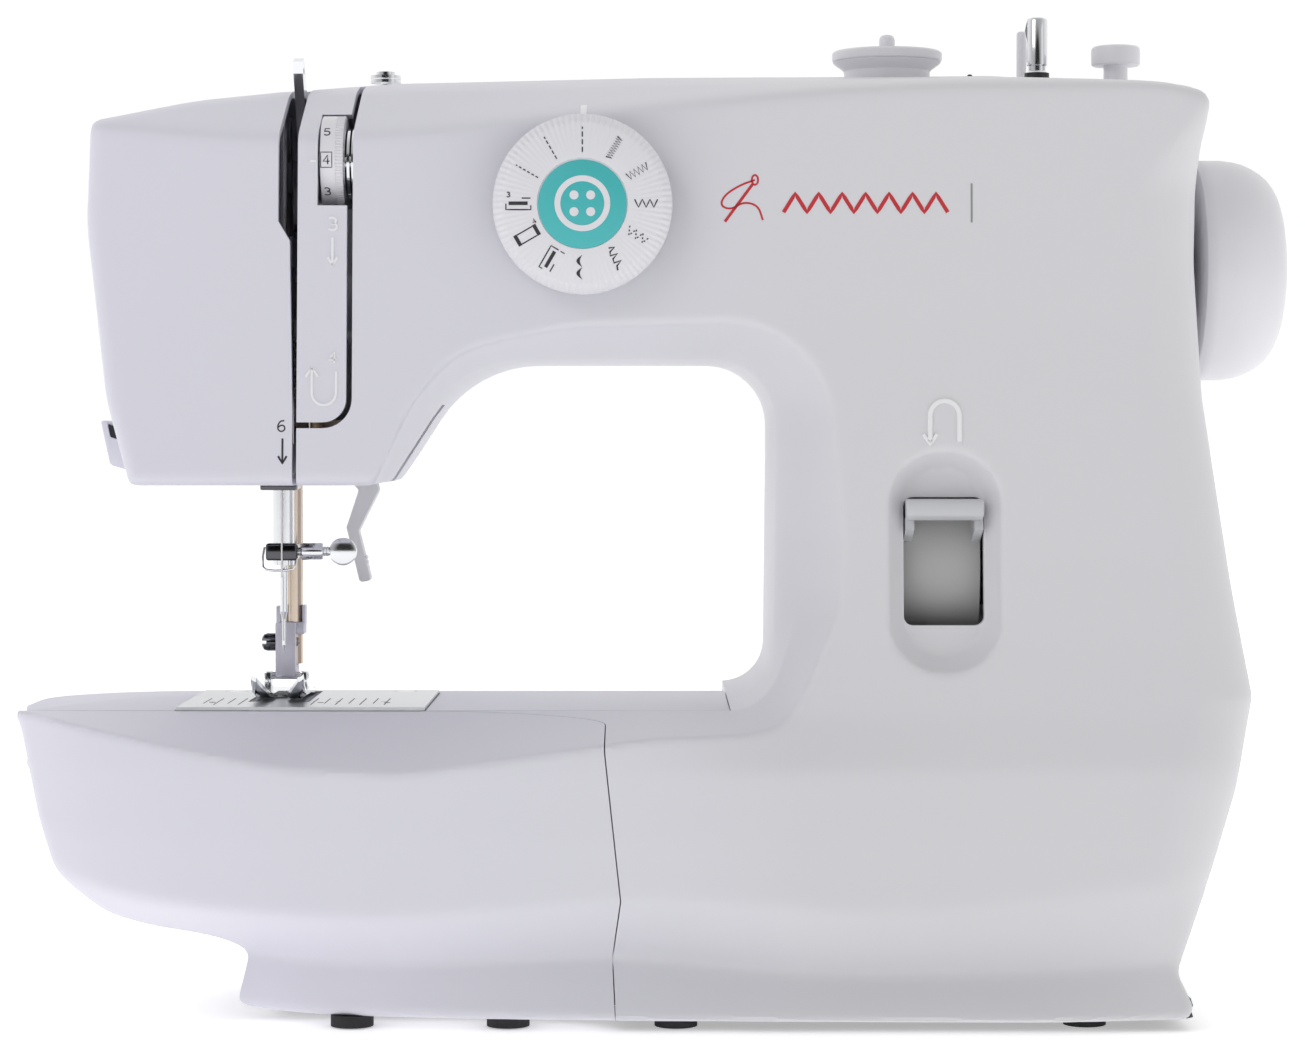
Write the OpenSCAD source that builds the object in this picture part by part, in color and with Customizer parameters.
// Mechanical household sewing machine with a free arm and a front-loading bobbin.
// Millimetres. X runs from the head (left) to the handwheel (right), -Y is the front,
// Z is up, and the origin is on the table under the centre of the bounding box.

/* [Body] */
// Left end of the free arm to the handwheel's face
overall_w = 339; // [337:1:341]
// Front of the extension table to the back of the plinth
overall_d = 152; // [148:1:156]
// Height of the bed's top above the table
bed_top = 80; // [78:0.5:81]
// Height of the head's underside
head_bottom = 138; // [136:0.5:140]
// Wall of the plastic covers
wall = 2.4; // [2:0.1:3]
// Height of the rubber feet
foot_h = 3; // [2.5:0.5:3.5]

/* [Drive] */
// Height of the main shaft
shaft_z = 196; // [194:0.5:198]
// Radius of the main shaft
shaft_r = 5; // [4:0.5:6]
// Radius of the handwheel
wheel_r = 29.8; // [27:0.2:31]
// Needle bar stroke
stroke = 30; // [26:1:32]
// Teeth on the rocker gear, counted round a whole circle
rocker_teeth = 42; // [42]
// Teeth on the hook pinion
hook_teeth = 14; // [14]

/* [Sewing] */
// Needle bar, left of centre
needle_x = -98.9; // [-99.5:0.1:-98]
// Radius of the needle bar
needle_bar_r = 2.9; // [2.6:0.1:3]
// Radius of the presser bar
presser_bar_r = 3; // [2.8:0.1:3]
// Radius of the bobbin winder spindle
spindle_r = 2.9; // [2.8:0.05:2.95]
// Radius of the stitch dial
dial_r = 23; // [20:0.5:24]

/* [Hidden] */
$fn = 64;
half_w = overall_w / 2;
// The drawing's X zero is the middle of the view; the part is moved so that its box is centred.
centre_x = -2.7;
half_d = overall_d / 2;
run = 0.03; // radial running clearance
gap = 0.3; // clearance between neighbouring pieces
shaft_y = 5;
lower_z = 40;
lower_y = 5;
needle_y = -10;
presser_x = -97.9;
presser_y = 1;
holder_front_y = -5.9; // front of the presser foot's holder
needle_slot_r = 1.7; // half the width of the slots that the needle passes
hook_z = 48;
gear_module = 1;
rocker_x = needle_x + gear_module * (rocker_teeth + hook_teeth) / 2;
arm_front_y = -41.6; // front face of the free arm
arm_rear_y = 26;
seam_x = -12; // right end of the extension table
seam_y = -56; // where the seam's curve over the top turns straight
cover_x = 20; // where the free arm cover meets the column
plate_x = [-123.5, -59];
plate_y = [-41, 18];
plate_t = 1.6;
dial_x = -17.7;
dial_z = 209.7;
lever_x = 75.2;
lever_z = 118;
lever_y = -12;
shield_r = 33; // shutter that closes the window behind the lever
frame_y = [30, 35];
take_up_pivot = [0, 213];
tension_y = -35;
tension_z = 221.8;
tension_r = 12.2;
island_x = [-90.8, -79.8];
slot_w = 1.5;
top_y = 18;
spindle_x = 105.9;
stopper_x = 127.6;
spool_x = 65;
spool_y = 24;
rear_spool = [104.4, 43];
belt_x = [120, 129];
timing_x = [45, 53];
motor_y = -24;
motor_z = 46;
motor_pulley_r = 7.5;
main_pulley_r = 22.5;
lifter_pivot = [-90, 146];
lifter_y = [20, 27];
white = [0.91, 0.91, 0.93];
steel = [0.72, 0.73, 0.75];
dark = [0.12, 0.12, 0.13];
black = [0.05, 0.05, 0.055];

// ---- outlines ----

// A closed outline with a round corner of radius p[i][2] at each point.
function corner(a, p, b, r, n = 8) =
  let (
    u = (a - p) / norm(a - p), v = (b - p) / norm(b - p),
    half = acos(max(-1, min(1, u * v))) / 2,
    reach = min(r / tan(half), 0.48 * min(norm(a - p), norm(b - p))),
    rr = reach * tan(half),
    mid = (u + v) / norm(u + v),
    c = p + mid * rr / sin(half),
    s = p + u * reach - c, e = p + v * reach - c,
    a0 = atan2(s[1], s[0]), turn = atan2(s[0] * e[1] - s[1] * e[0], s * e)
  )
  [for (i = [0:n]) c + rr * [cos(a0 + turn * i / n), sin(a0 + turn * i / n)]];

function rounded(p, n = 8) = [
  for (i = [0:len(p) - 1])
    let (a = p[(i + len(p) - 1) % len(p)], q = p[i], b = p[(i + 1) % len(p)])
    each (q[2] < 0.05 ? [[q[0], q[1]]]
      : corner([a[0], a[1]], [q[0], q[1]], [b[0], b[1]], q[2], n))
];

// Front view of the arm, column and base, at the widest section.
body_outline = [
  [seam_x, foot_h, 0], [141.8, foot_h, 3], [137.5, 14, 2], [144.5, 33, 12], [151.9, 60, 30], [156.4, 84, 8],
  [150.8, 112, 60], [143.8, 161, 60], [141, 196, 90], [140.9, 226, 20], [144.6, 241, 4.5], [128, 246.2, 30],
  [95, 248, 100], [0, 247, 200], [-70, 245.3, 60], [-120, 238.5, 60], [-145.4, 233, 3], [-146.5, 205, 60],
  [-142, 160, 40], [-134.5, head_bottom, 3], [-72, head_bottom, 2], [-50, 171, 30], [32, 171, 26],
  [31, bed_top, 20], [seam_x, bed_top, 0],
];

// Front view of the extension table, whose tip rises like a hull, and of the free arm behind it.
bed_outline = [
  [-112, foot_h, 3], [seam_x + 40, foot_h, 0], [seam_x + 40, bed_top, 0], [-158, bed_top, 4], [-164.2, 75, 4],
  [-157, 47, 12], [-148, 35, 16], [-124, 23.3, 20], [-107, 18, 2],
];
arm_outline = [
  [-130, 24, 10], [cover_x, 24, 0], [cover_x, bed_top, 0], [-161, bed_top, 4], [centre_x * -1 - half_w - 0.6, 74, 6],
  [-160, 47, 15], [-148, 33, 20],
];

// Side view: front and back of the column and arm.
side_outline = [
  [-64, foot_h, 2], [-57, 16, 2], [-65, 32, 12], [-62, 74, 30], [-56, 120, 60], [-51, 180, 60],
  [-47, 231, 5], [-20, 246, 25], [0, 249, 30], [30, 248.5, 30], [54, 236, 14], [60, 170, 60],
  [66, 100, 60], [72, 34, 12], [67, 16, 2], [half_d + 1, foot_h, 1],
];

// Side view of the extension table.
table_side = [
  [-66, foot_h, 2], [-60, 17, 2], [-73, 31, 10], [-half_d - 0.6, 67, 3], [-58, 76, 20],
  [-42, bed_top, 10], [0, bed_top, 0], [0, foot_h, 0],
];

// Plan of the column, arm and head.
plan_outline = [
  [-146, -60, 6], [-149, -10, 30], [-147, 38, 12], [-134, 52, 12], [0, 80, 10], [132, 80, 20],
  [154.6, 50, 18], [156, 0, 60], [153, -45, 20], [128, -72, 25], [0, -76, 40],
];

// Plan of the free arm.
arm_plan = [[-166, arm_front_y, 0], [-168, arm_rear_y, 26], [cover_x, arm_rear_y, 0], [cover_x, arm_front_y, 0]];

// Plan of the extension table.
table_plan = [
  [-165, arm_front_y, 0], [-164, -46, 4], [-146, -66, 40], [-80, -84, 120], [20, -74, 40],
  [20, arm_front_y, 0],
];

harp_mid = [[-95, bed_top, 0], [-72, head_bottom, 0], [-50, 171, 30], [32, 171, 26], [31, bed_top, 20]];
harp_front = [
  [-95, 76, 0], [-71, head_bottom, 0], [-52, 172, 22], [-20, 181, 60], [46.5, 184, 28], [49, 125, 60], [41.5, 74, 14],
];
harp_rear = [[-95, bed_top, 0], [-72, head_bottom, 0], [-50, 175, 30], [36, 175, 26], [36, bed_top, 20]];

// ---- helpers ----

module along_y(y0, y1) {
  translate([0, y1, 0]) rotate([90, 0, 0]) linear_extrude(y1 - y0) children();
}

module along_x(x0, x1) {
  translate([x0, 0, 0]) rotate([90, 0, 90]) linear_extrude(x1 - x0) children();
}

module block(x, y, z) {
  translate([x[0], y[0], z[0]]) cube([x[1] - x[0], y[1] - y[0], z[1] - z[0]]);
}

module rod_x(x0, x1, y, z, r) {
  translate([x0, y, z]) rotate([0, 90, 0]) cylinder(h = x1 - x0, r = r);
}

module rod_y(y0, y1, x, z, r) {
  translate([x, y1, z]) rotate([90, 0, 0]) cylinder(h = y1 - y0, r = r);
}

module rod_z(z0, z1, x, y, r) {
  translate([x, y, z0]) cylinder(h = z1 - z0, r = r);
}

// The same outline with every edge moved in by d.
function turning(p) = let (n = len(p)) [for (i = [0:n - 1]) let (
    a = p[(i + n - 1) % n], q = p[i], b = p[(i + 1) % n])
  (q[0] - a[0]) * (b[1] - q[1]) - (q[1] - a[1]) * (b[0] - q[0])];
function area(p) = let (n = len(p)) [for (i = [0:n - 1]) p[i][0] * p[(i + 1) % n][1]
  - p[(i + 1) % n][0] * p[i][1]] * [for (q = p) 0.5];
function edge_normal(a, b, s) = let (d = norm([b[0] - a[0], b[1] - a[1]])) [a[1] - b[1], b[0] - a[0]] * s / d;
function inset(p, d) = d == 0 ? p : let (
    n = len(p), s = sign(area(p)), bend = turning(p))
  [for (i = [0:n - 1]) let (
      u = edge_normal(p[(i + n - 1) % n], p[i], s),
      v = edge_normal(p[i], p[(i + 1) % n], s),
      m = (u + v) * d / (1 + u * v))
    [p[i][0] + m[0], p[i][1] + m[1],
      p[i][2] < 0.05 ? 0 : max(0.06, p[i][2] - sign(bend[i] * s) * d)]];

module outline(p, d = 0, n = 6) {
  polygon(rounded(inset(p, d), n));
}

// The harp space, which opens wider towards the front and the back.
module harp(grow) {
  hull() {
    along_y(-80, -79) outline(harp_front, -grow, 5);
    along_y(-6, -5) outline(harp_mid, -grow, 5);
  }
  along_y(-5.5, 20.5) outline(harp_mid, -grow, 5);
  hull() {
    along_y(20, 21) outline(harp_mid, -grow, 5);
    along_y(79, 80) outline(harp_rear, -grow, 5);
  }
}

module body_solid(inset) {
  intersection() {
    along_y(-half_d, half_d) outline(body_outline, inset);
    along_x(-160, 160) outline(side_outline, inset);
    linear_extrude(260) outline(plan_outline, inset);
  }
}

// The body moved in by d all round but left open at the bottom.
module open_body(d) {
  body_solid(d);
  intersection() {
    translate([0, 0, -d - 0.1]) body_solid(d);
    block([-160, 160], [-80, 80], [0, foot_h + 9]);
  }
}

module body_shell() {
  difference() {
    body_solid(0);
    harp(0);
    difference() {
      open_body(wall);
      harp(wall);
    }
  }
}

// Window and dish round the reverse lever, in front view.
module rounded_box(w, h, r) {
  square([w - 2 * r, h], center = true);
  square([w, h - 2 * r], center = true);
  for (x = [-1, 1], y = [-1, 1]) translate([x * (w / 2 - r), y * (h / 2 - r)]) circle(r);
}

module at_lever() {
  translate([lever_x, 116.4]) children();
}

// ---- covers ----

// Quarter circle at the foot of the thread slot, drawn either way round.
function turn_in(r, back) = [for (i = [0:6]) let (a = (back ? 6 - i : i) * 15)
  [island_x[1] - 5 + r * cos(a), 161 - r * sin(a)]];

module front_cover() {
  color(white) difference() {
    union() {
      intersection() {
        body_shell();
        union() {
          block([island_x[0], 160], [-80, -0.01], [head_bottom + 14, 260]);
          block([island_x[0] + 2.3, 160], [-80, -0.01], [110, head_bottom + 17]);
          block([cover_x + gap, 160], [-80, -0.01], [foot_h, 120]);
          block([seam_x + gap / 2, 60], [-80, arm_front_y], [foot_h, 110]);
        }
      }
      // end wall that faces the extension table
      intersection() {
        body_solid(wall / 2);
        block([seam_x + gap / 2, seam_x + gap / 2 + wall], [-80, arm_front_y - gap], [foot_h, bed_top]);
      }
      apron();
      // wall of the dish round the reverse lever
      intersection() {
        body_solid(wall / 2);
        along_y(-60, -48) at_lever() rounded_box(36, 64, 17.9);
      }
    }
    along_y(-60.5, -40) at_lever() rounded_box(22, 34.5, 2);
    intersection() {
      along_y(-80, -51) at_lever() rounded_box(31, 59, 15.4);
      block([0, 120], [-80, -51], [60, 160]);
    }
    // thread slot beside the island, which turns in at its foot
    along_y(-80, -5) translate([island_x[1], 160]) square([slot_w, 100]);
    along_y(-80, -20) polygon(concat(
      turn_in(6.6, 0), [[island_x[0] - 1, 154.4]], [[island_x[0] - 1, 155.9]], turn_in(5.1, 1)));
    block([island_x[0] - 1, island_x[0] + 2.4], [-80, -0.005], [head_bottom - 1, head_bottom + 16.6]);
    // window for the tension dial
    block([-85.8, island_x[1] + 0.5], [-80, -30], [210, 233.5]);
    rod_x(-85.8, island_x[1] + 0.5, tension_y, tension_z, tension_r + gap);
    rod_y(-80, -30, dial_x, dial_z, 5);
    // handwheel hub
    rod_x(120, 170, shaft_y, shaft_z, 14);
    // open underside of the head
    block([-94, -91], [-24, 10], [head_bottom - 5, head_bottom + wall + 1]);
  }
}

module rear_cover() {
  color(white) difference() {
    union() {
      intersection() {
        body_shell();
        union() {
          block([-95.7, 160], [0.01, 80], [head_bottom - 2, 260]);
          block([cover_x + gap, 160], [0.01, 80], [foot_h, 150]);
        }
      }
      // end wall behind the free arm
      intersection() {
        body_solid(wall / 2);
        block([cover_x + gap, cover_x + gap + wall], [arm_rear_y + gap, 80], [foot_h, bed_top + 6]);
      }
      // walls of the carrying grip
      intersection() {
        body_solid(wall / 2);
        difference() {
          block([-26, 66], [40 - wall, 70], [206, 236 + wall]);
          block([-23.6, 63.6], [40, 71], [208.4, 236]);
        }
      }
    }
    block([-23.6, 63.6], [40, 80], [208.4, 232]);
    rod_x(120, 170, shaft_y, shaft_z, 14);
    // top: winder slot, stopper, spool pins and guide posts
    block([spindle_x - 4, spindle_x + 9], [top_y - 4, top_y + 4], [236, 260]);
    rod_z(230, 260, stopper_x, top_y, 2.2);
    rod_z(230, 260, spool_x, spool_y, 4);
    rod_z(230, 260, rear_spool[0], rear_spool[1], 2.4);
    rod_z(230, 260, -73, 12, 1.6);
    rod_z(230, 260, 88, spool_y, 1.3);
    // presser bar and its lifter, under the head
    block([-102, -91], [0, 8], [head_bottom - 5, head_bottom + wall + 1]);
    block([-93, -58], [18, 29], [head_bottom - 5, 162]);
    // switch and socket panel in the right side
    block([130, 160], [16, 50], [30, 76]);
    // rear screws
    for (p = rear_screw_places) rod_y(30, 80, p[0], p[1], 1.9);
  }
}

rear_screw_places = [[-60, 190], [110, 225], [50, 60], [122, 95]];

module face_cover() {
  color(white) difference() {
    intersection() {
      body_shell();
      union() {
        block([-160, -96], [-80, 80], [head_bottom - 2, 260]);
        along_y(-80, -34) polygon([[-97, 246], [-95.8, 246], [-95.8, 206], [-92.8, 201],
          [-91.9, 157], [-91.2, 130], [-97, 130]]);
      }
    }
    // needle bar, presser bar and lamp under the head
    block([-130, -90], [-24, 12], [head_bottom - 5, head_bottom + wall + 1]);
    // thread cutter
    block([-160, -139], [-8, 8], [140, 156.6]);
  }
}

module free_arm_solid(inset) {
  intersection() {
    translate([0, 0, 24 + inset]) linear_extrude(bed_top - 24 - 2 * inset) outline(arm_plan, inset);
    along_y(-60, 60) outline(arm_outline, inset);
  }
}

module free_arm_cover() {
  color(white) difference() {
    free_arm_solid(0);
    difference() {
      translate([wall * 2, 0, 0]) free_arm_solid(wall);
      block([-130, -50], [-50, 30], [bed_top - 4.5, bed_top]);
    }
    translate([wall, 0, 0]) block([-130, cover_x + 1], [arm_front_y + wall, arm_rear_y - wall], [24 + wall, bed_top - 4.5]);
    // seat of the needle plate
    block([plate_x[0] - gap, plate_x[1] + gap], [plate_y[0] - 3, plate_y[1] + gap], [bed_top - plate_t + 0.8, bed_top + 1]);
    block([plate_x[0] + 6, plate_x[1] - 6], [plate_y[0] + 8, plate_y[1] - 8], [bed_top - 8, bed_top + 1]);
    for (x = [plate_x[0] + 9, plate_x[1] - 9]) rod_z(bed_top - 6, bed_top, x, plate_y[1] - 4, 1.6);
    // front door of the shuttle
    block([-129, -69], [-50, -30], [34.6, 64]);
    // bottom, open to the base
    block([-100, cover_x + 1], [-34, 20], [20, 30]);
  }
}

module table_solid(inset) {
  intersection() {
    along_y(-half_d, 0) outline(bed_outline, inset);
    along_x(-180, 60) outline(table_side, inset);
    linear_extrude(100) outline(table_plan, inset);
  }
}

// Plan of the extension table's right end, which sweeps forward from the free arm.
module table_region(inset) {
  back_y = arm_front_y - gap - inset;
  polygon(concat(
    [[-180, back_y]],
    [for (i = [0:10]) [-60 + (seam_x - inset + 60) * sin(i * 9), seam_y + (back_y - seam_y) * cos(i * 9)]],
    [[seam_x - inset, -80], [-180, -80]]));
}

// Corner of the front cover that fills the curve behind the extension table.
module apron() {
  difference() {
    intersection() {
      table_solid(0);
      block([-60, seam_x + 1], [seam_y - 2, arm_front_y - gap], [bed_top - 9, bed_top]);
    }
    linear_extrude(120) table_region(-gap / 2);
    // hollow under its top and behind its curved wall
    difference() {
      table_solid(wall);
      linear_extrude(120) table_region(-gap / 2 - wall);
    }
  }
}

module extension_table() {
  color(white) difference() {
    intersection() {
      table_solid(0);
      linear_extrude(120) table_region(gap / 2);
    }
    // storage space, open at the back and the right end
    intersection() {
      difference() {
        table_solid(wall);
        block([-180, 60], [-50, 10], [bed_top - 6, bed_top + 1]);
      }
      block([-165, 60], [-80, 10], [foot_h + wall, bed_top]);
    }
    // way out for the shuttle door, which swings down into the storage space
    block([-131, -67], [arm_front_y - 8, arm_front_y + 1], [33, 66]);
    // sockets of its feet
    for (x = table_foot_x) rod_z(foot_h - 1, foot_h + 1.2, x, -52, 3.2);
  }
}

table_foot_x = [-77, -37];
feet = [[6, -52], [111, -50], [111, 54], [30, 54], [-60, 8]];

module base_tray() {
  color(white) difference() {
    union() {
      intersection() {
        open_body(wall + gap);
        block([cover_x + gap + wall + gap, 160], [-80, 80], [foot_h, foot_h + 5]);
      }
      block([seam_x + 3, cover_x + 4], [-58.5, arm_rear_y], [foot_h, foot_h + 3]);
      // arm under the free arm
      block([-100, seam_x + 4], [-34, 20], [foot_h, foot_h + 3]);
      for (x = [-90, -30, 10]) block([x, x + 3], [-34, 20], [foot_h + 1, 24 - gap]);
    }
    for (p = feet) rod_z(foot_h - 1, foot_h + 1.5, p[0], p[1], 3.2);
  }
}

module rubber_feet() {
  color(dark) {
    for (p = feet) {
      rod_z(0, foot_h, p[0], p[1], 5.5);
      rod_z(foot_h - 0.5, foot_h + 1.5, p[0], p[1], 3.2);
    }
  }
}

module table_feet() {
  color(dark) for (x = table_foot_x) {
    rod_z(0, foot_h, x, -52, 5.5);
    rod_z(foot_h - 0.5, foot_h + 1.2, x, -52, 3.2);
  }
}

module shuttle_door() {
  color(white) difference() {
    union() {
      block([-128.5, -69.5], [arm_front_y, arm_front_y + 2], [37.5, 63.6]);
      rod_x(-128.5, -69.5, arm_front_y + 2, 37.2, 2);
    }
    rod_x(-130, -125, arm_front_y + 2, 37.2, 1.03);
    rod_x(-73, -68, arm_front_y + 2, 37.2, 1.03);
    // finger recess
    rod_y(arm_front_y - 1, arm_front_y + 1, -99, 63, 7);
  }
}

// ---- needle plate and shuttle ----

feed_rows = [-105.5, -98.9, -92.3];

module needle_plate() {
  color(steel) difference() {
    block(plate_x, plate_y, [bed_top - 0.8, bed_top + 0.8]);
    // needle slot
    hull() for (x = [needle_x - 4, needle_x + 4]) rod_z(bed_top - 2, bed_top + 2, x, needle_y, needle_slot_r);
    for (x = feed_rows) block([x - 1.5, x + 1.5], x == needle_x ? [-4, 14] : [-23, 14], [bed_top - 2, bed_top + 2]);
    for (x = [plate_x[0] + 9, plate_x[1] - 9]) {
      rod_z(bed_top - 2, bed_top + 2, x, plate_y[1] - 4, 1.7);
      rod_z(bed_top - 0.1, bed_top + 2, x, plate_y[1] - 4, 3.1);
    }
  }
}

module needle_plate_screws() {
  color(steel) for (x = [plate_x[0] + 9, plate_x[1] - 9]) difference() {
    union() {
      rod_z(bed_top - 5, bed_top, x, plate_y[1] - 4, 1.6);
      rod_z(bed_top - 0.1, bed_top + 0.8, x, plate_y[1] - 4, 3);
    }
    block([x - 4, x + 4], [plate_y[1] - 4.4, plate_y[1] - 3.6], [bed_top + 0.2, bed_top + 2]);
  }
}

module feed_dog() {
  color(steel) {
    difference() {
      block([-108, -89.8], [-22, 8], [70, 76]);
      block([needle_x - 6, needle_x + 6], [-14, -6], [69, 77]);
    }
    for (x = feed_rows) {
      y0 = x == needle_x ? -1 : -20;
      block([x - 1.1, x + 1.1], [y0, 8], [75, 80]);
      for (y = [y0:1.4:6.5]) along_x(x - 1.1, x + 1.1) polygon([[y, 79.5], [y + 1.4, 79.5], [y + 1.4, 80.9]]);
    }
  }
}

module shuttle_race() {
  color(steel) difference() {
    union() {
      rod_y(-19, -6, needle_x, hook_z, 17);
      for (z = [31, 60.5]) block([needle_x - 16, needle_x - 9], [-8, 14.5], [z, z + 4.5]);
    }
    rod_y(-17, -7, needle_x, hook_z, 13.6);
    rod_y(-20, -16, needle_x, hook_z, 12.2);
    rod_y(-8, -5, needle_x, hook_z, 9);
    // way for the needle
    block([needle_x - 6, needle_x + 6], [-13.5, -5], [hook_z + 8, hook_z + 20]);
  }
}

// One gear tooth's flank, from the root out to the tip.
function involute(r, base) = let (t = sqrt(max(0, pow(r / base, 2) - 1)) * 180 / PI) t - atan(t * PI / 180);

function tooth(n, m, turn, play) = let (
    pitch = n * m / 2, base = pitch * cos(20), outer = pitch + m * 0.95, root = pitch - m * 1.2,
    half = 90 / n - play / pitch * 90 / PI + involute(pitch, base),
    rr = [for (i = [0:4]) max(base, root) + (outer - max(base, root)) * i / 4])
  concat(
    [[root, turn - half - 0.3]],
    [for (r = rr) [r, turn - half + involute(r, base)]],
    [for (i = [4:-1:0]) [rr[i], turn + half - involute(rr[i], base)]],
    [[root, turn + half + 0.3]]);

function polar(p) = [for (q = p) [q[0] * cos(q[1]), q[0] * sin(q[1])]];

module shuttle_hook() {
  color(steel) translate([needle_x, 0, hook_z]) {
    difference() {
      rod_y(-16, -8, 0, 0, 13.3);
      rod_y(-17, -10, 0, 0, 11.6);
      // throat under the hook's point
      rotate([0, -40, 0]) block([-20, 0], [-17, -11], [4, 20]);
    }
    rod_y(-8.5, 22, 0, 0, 3);
    rotate([90, 0, 0]) translate([0, 0, -13]) linear_extrude(5)
      polygon(polar([for (k = [0:hook_teeth - 1]) each tooth(hook_teeth, gear_module, (k + 0.5) * 360 / hook_teeth, 0.08)]));
  }
}

rocker_span = 5; // teeth either side of the middle one

module rocker_gear() {
  color(steel) translate([rocker_x, 0, hook_z]) difference() {
    union() {
      rotate([90, 0, 0]) translate([0, 0, -13]) linear_extrude(5) {
        polygon(concat(
          [[0, 0]],
          polar([for (k = [-rocker_span:rocker_span]) each tooth(rocker_teeth, gear_module, 180 + k * 360 / rocker_teeth, 0.08)])));
        difference() {
          translate([0, -4]) square([10, 8]);
          translate([6, -1.6]) square([10, 3.2]);
        }
      }
      rod_y(6, 14.2, 0, 0, 6);
    }
    rod_y(5, 25, 0, 0, 3 + run);
  }
}

module bobbin_case() {
  color(steel) difference() {
    union() {
      rod_y(-33, -20.5, needle_x, hook_z, 11.7);
      block([needle_x - 3, needle_x + 3], [-34.2, -33], [hook_z - 3, hook_z + 11]);
    }
    difference() {
      rod_y(-32, -20, needle_x, hook_z, 10.7);
      rod_y(-32.5, -21, needle_x, hook_z, 2.9);
    }
  }
}

module bobbin() {
  color(white) difference() {
    union() {
      rod_y(-31.6, -30.4, needle_x, hook_z, 10.2);
      rod_y(-22.2, -21, needle_x, hook_z, 10.2);
      rod_y(-31, -22, needle_x, hook_z, 4);
    }
    rod_y(-33, -20, needle_x, hook_z, 2.9 + run);
  }
}

// ---- frame and drive ----

bushing_x = [-71, 36, 108];
lower_bearing_x = [-41, 32];

module frame_casting() {
  color([0.45, 0.46, 0.48]) difference() {
    union() {
      along_y(frame_y[0], frame_y[1]) difference() {
        polygon([[-108, 141], [-80, 141], [-56, 178], [39, 178], [40, 88], [24, 76], [24, 26], [126, 26],
          [132, 80], [127, 140], [120, 190], [124, 228], [-108, 228]]);
        for (x = [-40, 0, 76]) translate([x, 190]) square([24, 26]);
        for (x = [52, 86]) translate([x, 130]) square([28, 30]);
        for (x = [52, 86]) translate([x, 80]) square([28, 24]);
        for (x = [52, 84]) translate([x, 38]) square([26, 30]);
      }
      // bearing arms of the main shaft
      for (x = bushing_x) {
        rod_x(x - 5, x + 5, shaft_y, shaft_z, 12);
        block([x - 5, x + 5], [shaft_y, frame_y[1]], [shaft_z - 10, shaft_z + 10]);
      }
      // needle bar and presser bar guides
      block([-106, -92], [-17, 8], [141.2, 149]);
      block([-106, -99], [8, 32], [141.2, 149]);
      block([-106, -95.6], [-17, 32], [196, 204]);
      block([-104, -92], [-2.9, 32], [178, 186]);
      // pivot of the take-up lever
      block([-106, -95.6], [-4, 32], [208, 218]);
      rod_x(-96, -91.9, take_up_pivot[0], take_up_pivot[1], 2);
      // pivots of the presser lifter and the reverse lever
      rod_y(lifter_y[0] - 1, frame_y[1], lifter_pivot[0], lifter_pivot[1], 2.5);
      for (x = [58, 89]) block([x, x + 4], [lever_y - 5, frame_y[1]], [lever_z - 6, lever_z + 6]);
      rod_x(58, 93, lever_y, lever_z, 2.5);
      // lower arm in the free arm
      block([-116, 40], [14.5, 19.5], [29, 66]);
      block([24, 60], [14.5, 35], [27, 66]);
      for (x = lower_bearing_x) block([x - 4, x + 4], [-1, 15], [lower_z - 7, lower_z + 7]);
      rod_y(6, 15, rocker_x, hook_z, 3);
      // motor bracket
      block([112, 116], [motor_y - 14, 35], [30, 62]);
      // carrier of the winder
      block([58, 122], [8, 35], [232, 235]);
      block([58, 122], frame_y, [227, 233]);
      block([98, 111], [34, 48], [232, 235]);
      // seat of the tension unit
      block([-75, -66], [tension_y - 5, 12], [tension_z - 4, tension_z + 4]);
      block([-72, -66], [8, 32], [204, tension_z + 4]);
    }
    for (x = bushing_x) rod_x(x - 6, x + 6, shaft_y, shaft_z, shaft_r + 3);
    for (z = [140, 195]) rod_z(z, z + 10, needle_x, needle_y, needle_bar_r + run);
    rod_z(140, 190, presser_x, presser_y, presser_bar_r + run);
    for (x = lower_bearing_x) rod_x(x - 5, x + 5, lower_y, lower_z, 4 + run);
    rod_y(10, 24, needle_x, hook_z, 3 + run);
    rod_x(-80, -60, tension_y, tension_z, 2);
    // room for the timing belt and its lower pulley
    block([timing_x[0] - 2.5, timing_x[1] + 2.5], [-20, lower_y + 15], [20, 120]);
    // motor's neck and shaft
    rod_x(110, 118, motor_y, motor_z, 6);
    for (p = rear_screw_places) rod_y(29, 36, p[0], p[1], 1.8);
    rod_z(230, 240, spool_x, spool_y, 2.2 + run);
    rod_z(230, 240, rear_spool[0], rear_spool[1], 1.4 + run);
  }
}

module shaft_bushings() {
  color([0.72, 0.55, 0.3]) for (x = bushing_x) difference() {
    rod_x(x - 5, x + 5, shaft_y, shaft_z, shaft_r + 3);
    rod_x(x - 6, x + 6, shaft_y, shaft_z, shaft_r + run);
  }
}

module cover_screws() {
  color(steel) for (p = rear_screw_places) difference() {
    union() {
      rod_y(31, 50, p[0], p[1], 1.8);
      rod_y(49.9, 52.3, p[0], p[1], 3.4);
    }
    for (a = [0, 90]) translate([p[0], 52.5, p[1]]) rotate([0, a, 0]) cube([0.9, 2.4, 4.4], center = true);
  }
}

module main_shaft() {
  color(steel) difference() {
    rod_x(-84, 168, shaft_y, shaft_z, shaft_r);
    block([130, 169], [shaft_y + 4, shaft_y + 8], [shaft_z - 8, shaft_z + 8]);
  }
}

module pulley(x, r, bore, y, z) {
  difference() {
    union() {
      rod_x(x[0], x[1], y, z, r);
      rod_x(x[0] - 1.2, x[0], y, z, r + 2);
      rod_x(x[1], x[1] + 1.2, y, z, r + 2);
    }
    rod_x(x[0] - 2, x[1] + 2, y, z, bore);
  }
}

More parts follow.
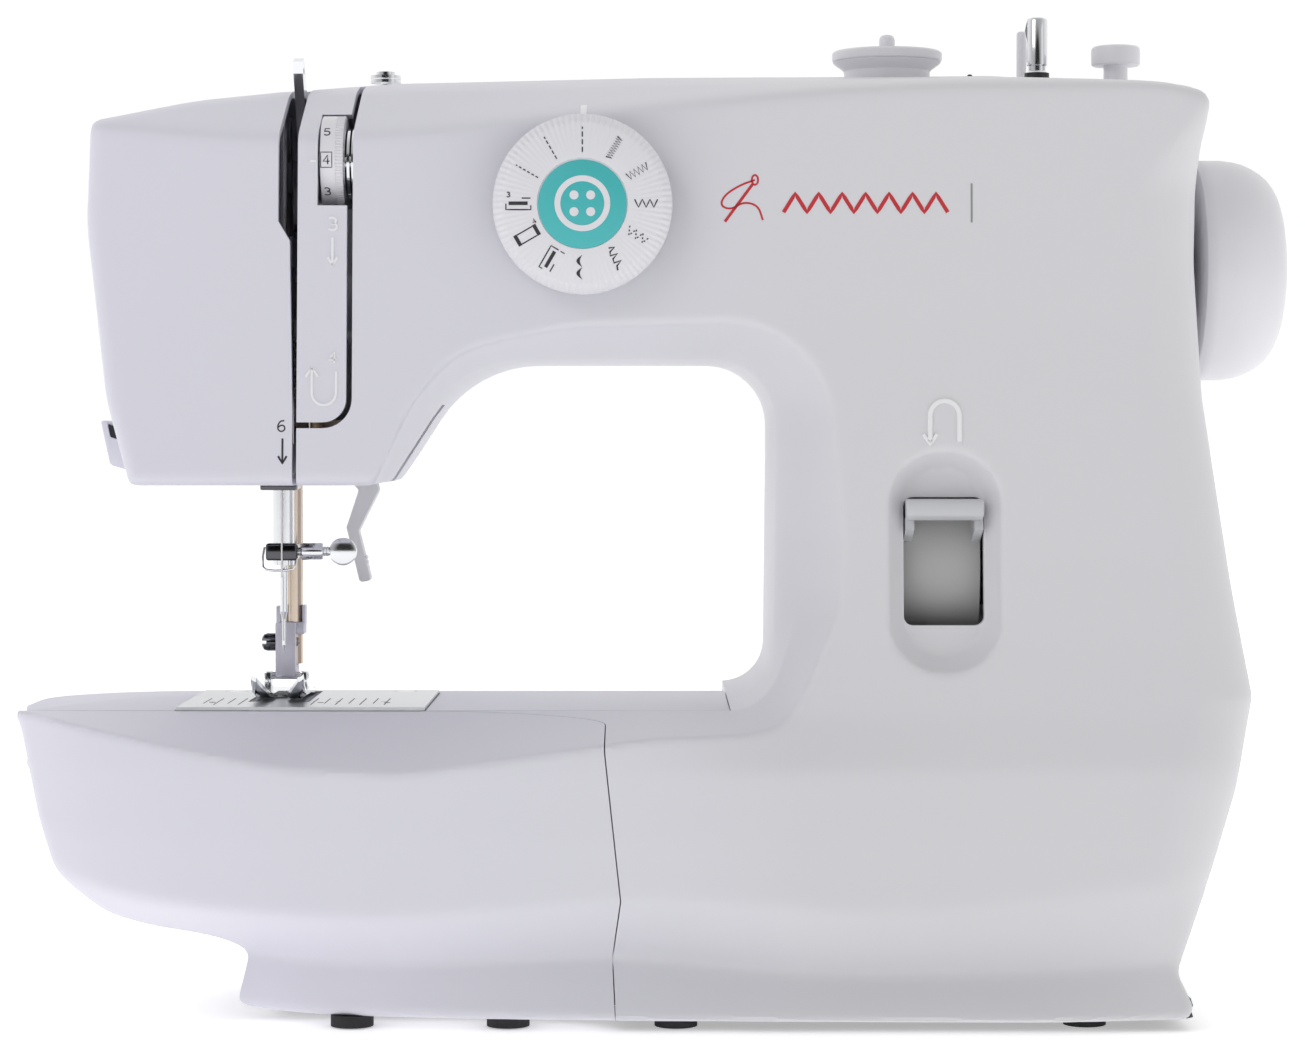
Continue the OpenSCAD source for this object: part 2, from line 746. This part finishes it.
module main_pulley() {
  color(dark) {
    difference() {
      pulley(belt_x, main_pulley_r, shaft_r, shaft_y, shaft_z);
      for (a = [0:60:300]) translate([0, shaft_y, shaft_z]) rotate([a, 0, 0]) rod_x(115, 135, 14, 0, 4.5);
    }
    pulley(timing_x, 11, shaft_r, shaft_y, shaft_z);
  }
}

module needle_crank() {
  color(steel) {
    difference() {
      rod_x(-84, -78, shaft_y, shaft_z, 20);
      rod_x(-85, -77, shaft_y, shaft_z, shaft_r);
      // counterweight side is left full, the other is cut away
      for (y = [-24, 12]) block([-85, -77], [shaft_y + y, shaft_y + y + 12], [shaft_z - 2, shaft_z + 25]);
    }
    rod_x(-88, -83, shaft_y, shaft_z + stroke / 2, 3);
  }
}

module lower_shaft() {
  color(steel) {
    rod_x(-57, 60, lower_y, lower_z, 4);
    difference() {
      rod_x(-57, -52, lower_y, lower_z, 9);
      block([-58, -51], [lower_y, lower_y + 12], [lower_z - 10, lower_z + 10]);
    }
    rod_x(-59.4, -56, lower_y - 6, lower_z, 1.5);
  }
  color(dark) pulley(timing_x, 11, 3.9, lower_y, lower_z);
}

// Flat belt round two pulleys of radius ra and rb.
module belt(x, a, ra, b, rb, t) {
  d = norm(b - a);
  lean = atan2(b[1] - a[1], b[0] - a[0]);
  tilt = acos((ra - rb) / d);
  module loop(grow) {
    translate(a) circle(ra + grow);
    translate(b) circle(rb + grow);
    polygon([for (q = [[a, ra, 1], [b, rb, 1], [b, rb, -1], [a, ra, -1]])
      q[0] + (q[1] + grow) * [cos(lean + q[2] * tilt), sin(lean + q[2] * tilt)]]);
  }
  along_x(x[0], x[1]) difference() {
    loop(gap + t);
    loop(gap);
  }
}

module drive_belt() {
  color(black) belt([belt_x[0] + 0.6, belt_x[1] - 0.6], [motor_y, motor_z], motor_pulley_r,
    [shaft_y, shaft_z], main_pulley_r, 1.4);
}

module timing_belt() {
  color(black) belt([timing_x[0] + 0.6, timing_x[1] - 0.6], [lower_y, lower_z], 11, [shaft_y, shaft_z], 11, 1.4);
}

module motor() {
  color([0.3, 0.31, 0.33]) difference() {
    union() {
      rod_x(64, 110, motor_y, motor_z, 20);
      rod_x(58, 64, motor_y, motor_z, 12);
      rod_x(110, 112, motor_y, motor_z, 16);
      rod_x(110, 117, motor_y, motor_z, 5.9);
      block([70, 104], [motor_y - 8, motor_y + 8], [foot_h + wall + 2.6, motor_z]);
    }
    rod_x(112, 118, motor_y, motor_z, 3 + run);
    for (a = [0:30:330]) translate([0, motor_y, motor_z]) rotate([a, 0, 0]) block([72, 76], [16, 21], [-2, 2]);
  }
}

module motor_pulley() {
  color(dark) pulley(belt_x, motor_pulley_r, 3, motor_y, motor_z);
  color(steel) rod_x(113, 133, motor_y, motor_z, 3);
}

wheel_t = half_w - centre_x - 144;

module handwheel() {
  // smooth rim that rounds over to a flat face
  color(white) translate([144, shaft_y, shaft_z]) rotate([0, 90, 0]) rotate_extrude($fn = 96) polygon([
    [shaft_r, 0], [wheel_r - 3.2, 0], [wheel_r - 1, 1.2], [wheel_r, 4], [wheel_r, 8], [wheel_r - 0.6, 13],
    [wheel_r - 1.2, 16.5], [wheel_r - 2.1, 19.5], [wheel_r - 3.5, 22.3], [wheel_r - 5.3, 24.4],
    [wheel_r - 8, 26], [wheel_r - 11.5, 27.1], [wheel_r - 15.5, wheel_t - 0.3], [9.5, wheel_t],
    [9, wheel_t - 0.4], [0, wheel_t - 0.4], [0, 24], [shaft_r, 24],
  ]);
}

// ---- controls ----

module pattern_dial() {
  color(white) {
    difference() {
      union() {
        rod_y(-60.5, -54.5, dial_x, dial_z, dial_r);
        rod_y(-54.6, -53, dial_x, dial_z, dial_r - 1.4);
      }
      rod_y(-61, -59.9, dial_x, dial_z, 11.4);
      // knurled rim
      for (a = [0:7.5:352.5]) translate([dial_x, 0, dial_z]) rotate([0, a, 0]) rod_y(-59.6, -54, dial_r + 0.35, 0, 0.7);
    }
    rod_y(-54, -14, dial_x, dial_z, 5 - run);
  }
}

module dial_badge() {
  color([0.3, 0.72, 0.75]) rod_y(-60.6, -59.9, dial_x, dial_z, 11.2);
}

module pattern_cams() {
  color([0.85, 0.83, 0.78]) difference() {
    union() {
      // four cams, each with its own number of lobes
      for (i = [0:3]) along_y(-41 + 6 * i, -38 + 6 * i) translate([dial_x, dial_z])
        polygon([for (a = [0:7.5:352.5]) (11 + 1.4 * cos((i + 2) * a)) * [cos(a), sin(a)]]);
      rod_y(-42, -18, dial_x, dial_z, 8);
    }
    rod_y(-43, -17, dial_x, dial_z, 5 - run);
  }
}

module tension_dial() {
  color(white) difference() {
    rod_x(-85.3, -80.5, tension_y, tension_z, tension_r);
    rod_x(-86, -80, tension_y, tension_z, 2 + run);
    for (a = [0:6:354]) translate([0, tension_y, tension_z]) rotate([a, 0, 0])
      rod_x(-81.9, -80, tension_r + 0.2, 0, 0.35);
  }
}

module tension_discs() {
  color(steel) {
    rod_x(-86.2, -66, tension_y, tension_z, 2);
    difference() {
      union() for (x = [-79.9, -78.7, -77.5]) rod_x(x, x + 0.7, tension_y, tension_z, 9);
      rod_x(-81, -76, tension_y, tension_z, 2);
    }
  }
}

module take_up_lever() {
  color(steel) difference() {
    union() {
      rod_x(-94.6, -92.1, take_up_pivot[0], take_up_pivot[1], 5);
      along_x(-94.6, -92.1) polygon([[-4.5, 212], [4.5, 215], [-4, 232], [-17, 249.5], [-20, 250.8],
        [-23, 249.6], [-22.5, 246.5], [-16, 236]]);
    }
    rod_x(-96, -91, take_up_pivot[0], take_up_pivot[1], 2 + run);
    rod_x(-96, -91, -19.8, 247.4, 0.9);
  }
}

// Slice of a disc that points to the front, between two angles above the horizontal.
module arc_sector(r, angles) {
  polygon(concat([[0, 0]], [for (i = [0:24]) let (a = angles[0] + (angles[1] - angles[0]) * i / 24)
    r * [-cos(a), sin(a)]]));
}

shield_angles = [-46, 64];

module reverse_lever() {
  lo = lever_x - 10.6;
  hi = lever_x + 10.6;
  color(white) difference() {
    union() {
      block([lo, hi], [-56.2, -53], [127.6, 132.3]);
      block([lo, hi], [-53, -50], [126.6, 132.4]);
      for (x = [lo, hi - 2.2]) along_x(x, x + 2.2) polygon([[-52, 132.4], [lever_y - 4, lever_z + 4.5],
        [lever_y + 4, lever_z + 4], [lever_y + 4, lever_z - 4], [lever_y - 6, lever_z - 4], [-52, 126]]);
      rod_x(lo, hi, lever_y, lever_z, 5);
      // curved shutter, which keeps the window closed as the lever goes down
      along_x(lo, hi) translate([lever_y, lever_z]) difference() {
        arc_sector(shield_r, shield_angles);
        circle(shield_r - 1.6);
      }
    }
    rod_x(lo - 1, hi + 1, lever_y, lever_z, 2.5 + run);
  }
}

module winder_carriage() {
  color(dark) difference() {
    union() {
      block([spindle_x - 9, spindle_x + 9], [top_y - 7, top_y + 7], [235.3, 238.3]);
      rod_z(235.3, 251, spindle_x, top_y, 3.4);
    }
    rod_z(234, 252, spindle_x, top_y, 2 + run);
  }
}

module winder_spindle() {
  color(steel) {
    rod_z(235.4, 252, spindle_x, top_y, 2);
    rod_z(251.3, 252.6, spindle_x, top_y, 4.2);
    rod_z(252, 265, spindle_x, top_y, spindle_r);
    translate([spindle_x, top_y, 265]) cylinder(h = 1.3, r1 = spindle_r, r2 = spindle_r - 1.2);
  }
}

module bobbin_stopper() {
  color(white) {
    rod_z(240, 254, stopper_x, top_y, 2);
    rod_z(248.6, 254, stopper_x, top_y, 3.3);
    rod_z(253.8, 258.6, stopper_x, top_y, 6.7);
    rod_z(258.6, 259.2, stopper_x, top_y, 6.2);
  }
}

module spool_seat() {
  color(white) difference() {
    translate([spool_x, spool_y, 240]) rotate_extrude($fn = 96) polygon([
      [0, 0], [3.9, 0], [3.9, 9.9], [12.2, 9.9], [12.6, 12.4], [13.4, 14], [15.2, 15.4], [15.2, 18.6],
      [14.8, 19], [0, 19],
    ]);
    rod_z(230, 262, spool_x, spool_y, 2.2 + run);
  }
}

module spool_pin() {
  color(white) rod_z(206, 262.4, spool_x, spool_y, 2.2);
}

module rear_spool_pin() {
  color(white) {
    rod_z(210, 264.6, rear_spool[0], rear_spool[1], 1.4);
    translate([rear_spool[0], rear_spool[1], 264.2]) sphere(1.4);
  }
}

module winder_thread_guide() {
  color(dark) {
    rod_z(242, 250.4, 88, spool_y, 1.2);
    rod_z(249.4, 251.4, 88, spool_y, 2.4);
  }
}

module winder_tension_discs() {
  color(steel) {
    rod_z(236, 250.2, -73, 12, 1.5);
    for (z = [247.6, 248.8]) rod_z(z, z + 0.8, -73, 12, 4.2);
    rod_z(249.4, 250.6, -73, 12, 2.6);
  }
}

module thread_cutter() {
  color(white) difference() {
    block([-143, -139.3], [-7.6, 7.6], [142, 154]);
    block([-143.5, -141.5], [-8, 8], [146, 149]);
  }
  color(steel) block([-142.8, -139.6], [-6, 6], [147.4, 147.9]);
}

// ---- needle and presser bars ----

module needle_bar() {
  color(steel) difference() {
    rod_z(116.5, 236, needle_x, needle_y, needle_bar_r);
    // socket of the needle's shank
    rod_z(116, 124, needle_x, needle_y, 1);
  }
}

module needle_bar_link() {
  color(steel) {
    difference() {
      union() {
        rod_z(182, 192, needle_x, needle_y, 5.4);
        rod_x(needle_x, -88.6, needle_y, 187, 2.5);
      }
      rod_z(181, 193, needle_x, needle_y, needle_bar_r);
    }
    along_x(-91.4, -88.6) difference() {
      union() {
        translate([needle_y, 187]) circle(4);
        translate([shaft_y, shaft_z + stroke / 2]) circle(4.5);
        polygon([[-12.5, 188.6], [-7.3, 185.4], [7.4, 209.6], [2.4, 212.6]]);
      }
      translate([shaft_y, shaft_z + stroke / 2]) circle(3.2);
    }
  }
}

module needle_clamp() {
  color(dark) difference() {
    union() {
      rod_z(117.8, 122.4, needle_x, needle_y, 4.3);
      block([needle_x, needle_x + 4], [needle_y - 2.6, needle_y + 2.6], [117.8, 122.4]);
    }
    rod_z(117, 123, needle_x, needle_y, needle_bar_r);
    rod_x(needle_x, -94, needle_y, 120.1, 1.2);
    // flat back that passes in front of the foot holder
    block([needle_x - 6, needle_x + 6], [holder_front_y - gap, needle_y + 6], [117, 123]);
  }
  // wire thread guide
  color(steel) {
    rod_z(114.2, 118, needle_x + 1.8, needle_y - 3.3, 0.35);
    rod_x(needle_x - 1.6, needle_x + 2.1, needle_y - 3.3, 114.2, 0.35);
  }
}

module needle_clamp_screw() {
  color(steel) {
    rod_x(needle_x + 3, -94.1, needle_y, 120.1, 1.15);
    rod_x(-94.3, -88.3, needle_y, 120.1, 2.1);
    rod_x(-88.4, -85.8, needle_y, 120.1, 1.3);
    rod_y(needle_y - 1, needle_y + 1, -83, 120.1, 3.7);
  }
}

module needle() {
  color([0.85, 0.86, 0.88]) {
    rod_z(104, 123.5, needle_x, needle_y, 1);
    translate([needle_x, needle_y, 102]) cylinder(h = 2, r1 = 0.5, r2 = 1);
    difference() {
      rod_z(95, 102.1, needle_x, needle_y, 0.5);
      rod_y(-14, -6, needle_x, 96.4, 0.2);
    }
    translate([needle_x, needle_y, 92.9]) cylinder(h = 2.1, r1 = 0.05, r2 = 0.5);
  }
}

module needle_thread() {
  color([0.97, 0.97, 0.97]) {
    rod_z(113.5, 141, needle_x, needle_y - 4.7, 0.22);
    rod_y(needle_y - 4.7, needle_y - 1.2, needle_x, 113.5, 0.22);
    rod_z(96.4, 113.5, needle_x, needle_y - 1.25, 0.22);
  }
}

module presser_bar() {
  color([0.66, 0.6, 0.54]) difference() {
    union() {
      rod_z(89.4, 189, presser_x, presser_y, presser_bar_r);
      // collar under the spring and the arm the lifter raises
      rod_z(152.5, 158.5, presser_x, presser_y, 5.5);
      block([-100.5, -95.3], [2, 27], [152.5, 155.5]);
      block([-100.5, -77], [21, 27], [152.5, 155.5]);
    }
    rod_x(-105, -95.5, presser_y - 3.6, 95.4, 1.6);
  }
}

module helix(r, wire, z0, z1, turns, n = 16, m = 6) {
  steps = turns * n;
  ring = [for (i = [0:steps]) let (a = 360 * i / n, z = z0 + (z1 - z0) * i / steps)
    [for (k = [0:m - 1]) let (b = 360 * k / m) [(r + wire * cos(b)) * cos(a), (r + wire * cos(b)) * sin(a), z + wire * sin(b)]]];
  polyhedron(
    points = [for (q = ring) each q],
    faces = concat(
      [for (k = [1:m - 2]) [0, k, k + 1]],
      [for (i = [0:steps - 1], k = [0:m - 1], half = [0, 1]) let (a = i * m + k, b = i * m + (k + 1) % m)
        half == 0 ? [a, a + m, b] : [b, a + m, b + m]],
      [for (k = [1:m - 2]) [steps * m, steps * m + k + 1, steps * m + k]]));
}

module presser_spring() {
  color(steel) translate([presser_x, presser_y, 0]) helix(4.2, 0.5, 159.2, 177.3, 7);
}

module foot_holder() {
  color(white) difference() {
    union() {
      block([-102, -95.3], [holder_front_y, -2.4], [86.2, 101]);
      block([-101.6, -94], [holder_front_y, 4.6], [97.4, 105.6]);
      block([-102, -95.3], [holder_front_y, 4.4], [86.2, 89]);
    }
    rod_z(89.2, 110, presser_x, presser_y, presser_bar_r + 0.02);
    rod_x(-104, -100.6, -3, 95.4, 1.3);
    // claw over the foot's pin
    rod_x(-103, -94, -4, 86.4, 1.03);
  }
}

module foot_holder_screw() {
  color(dark) difference() {
    union() {
      rod_x(-104.9, -102.1, -3, 95.4, 2.4);
      rod_x(-102.2, -100.7, -3, 95.4, 1.25);
    }
    block([-106, -104], [-6, 0], [95, 95.8]);
  }
}

module presser_foot() {
  x0 = needle_x - 7;
  color(steel) {
    difference() {
      union() {
        block([x0, x0 + 14], [-21, 8], [81.3, 82.7]);
        // upturned toes
        along_x(x0, x0 + 14) polygon([[-20.9, 81.3], [-20.9, 82.7], [-26, 86.7], [-27, 85.6]]);
      }
      // gap between the toes and the needle slot
      block([needle_x - 1.6, needle_x + 1.6], [-30, -15], [80, 90]);
      hull() for (x = [needle_x - 3.5, needle_x + 3.5]) rod_z(80, 84, x, needle_y, needle_slot_r);
    }
    for (x = [x0 + 1.2, x0 + 10.8]) block([x, x + 2], [-6, -2], [82.5, 87.5]);
    rod_x(x0 + 1.2, x0 + 12.8, -4, 86.4, 1);
  }
}

module presser_lifter() {
  color([0.62, 0.63, 0.66]) difference() {
    union() {
      rod_y(lifter_y[0], lifter_y[1], lifter_pivot[0], lifter_pivot[1], 5);
      along_y(lifter_y[0], lifter_y[1]) {
        polygon([[-93, 142], [-86, 150], [-82, 141], [-77, 136], [-76.5, 130], [-81.2, 125.6], [-80.4, 118],
          [-78.7, 111.2], [-79.4, 109.6], [-81.6, 110.2], [-83.6, 118], [-85.4, 125.4], [-83, 131], [-84, 136]]);
        // finger under the presser bar's arm
        polygon([[-88, 150.6], [-78, 152.2], [-76.8, 150.2], [-77, 147.6], [-86, 142]]);
      }
    }
    rod_y(10, 30, lifter_pivot[0], lifter_pivot[1], 2.5 + run);
  }
}

// ---- electrics ----

module socket_panel() {
  color(dark) difference() {
    block([136, 146], [16.3, 49.7], [30.3, 75.7]);
    block([139.5, 150], [20, 46], [34, 52]);
    block([138.2, 150], [22.6, 43.4], [57, 73]);
  }
  color(steel) for (y = [27, 33, 39]) rod_x(139, 144, y, 43, 1.2);
}

module power_switch() {
  color(black) difference() {
    union() {
      block([139.6, 142.6], [23.6, 42.4], [58.4, 71.6]);
      rod_y(23.6, 42.4, 141.2, 65, 2);
    }
    // the pressed half is dished
    rod_y(20, 46, 153.4, 65, 11.2);
  }
}

module led_lamp() {
  color([0.95, 0.95, 0.85]) {
    block([-121, -111], [-8, 6], [146, 152]);
    rod_z(143.5, 146, -116, -1, 3.6);
  }
}

// Moves a piece from the drawing's X zero to the part's own.
module centred() {
  translate([centre_x, 0, 0]) children();
}

centred() front_cover();
centred() rear_cover();
centred() face_cover();
centred() base_tray();
centred() rubber_feet();
centred() free_arm_cover();
centred() needle_plate();
centred() needle_plate_screws();
centred() cover_screws();
centred() frame_casting();
centred() shaft_bushings();
centred() bobbin_stopper();
centred() spool_seat();
centred() winder_thread_guide();
centred() winder_tension_discs();
centred() thread_cutter();
centred() tension_discs();
centred() shuttle_race();
centred() bobbin_case();
centred() motor();
centred() drive_belt();
centred() timing_belt();
centred() socket_panel();
centred() power_switch();
centred() led_lamp();
centred() presser_spring();
centred() handwheel();
centred() main_shaft();
centred() main_pulley();
centred() needle_crank();
centred() motor_pulley();
centred() lower_shaft();
centred() pattern_dial();
centred() dial_badge();
centred() pattern_cams();
centred() tension_dial();
centred() take_up_lever();
centred() needle_bar();
centred() needle_bar_link();
centred() needle_clamp();
centred() needle_clamp_screw();
centred() needle();
centred() needle_thread();
centred() presser_bar();
centred() foot_holder();
centred() foot_holder_screw();
centred() presser_foot();
centred() presser_lifter();
centred() reverse_lever();
centred() winder_carriage();
centred() winder_spindle();
centred() spool_pin();
centred() rear_spool_pin();
centred() feed_dog();
centred() rocker_gear();
centred() shuttle_hook();
centred() bobbin();
centred() extension_table();
centred() table_feet();
centred() shuttle_door();
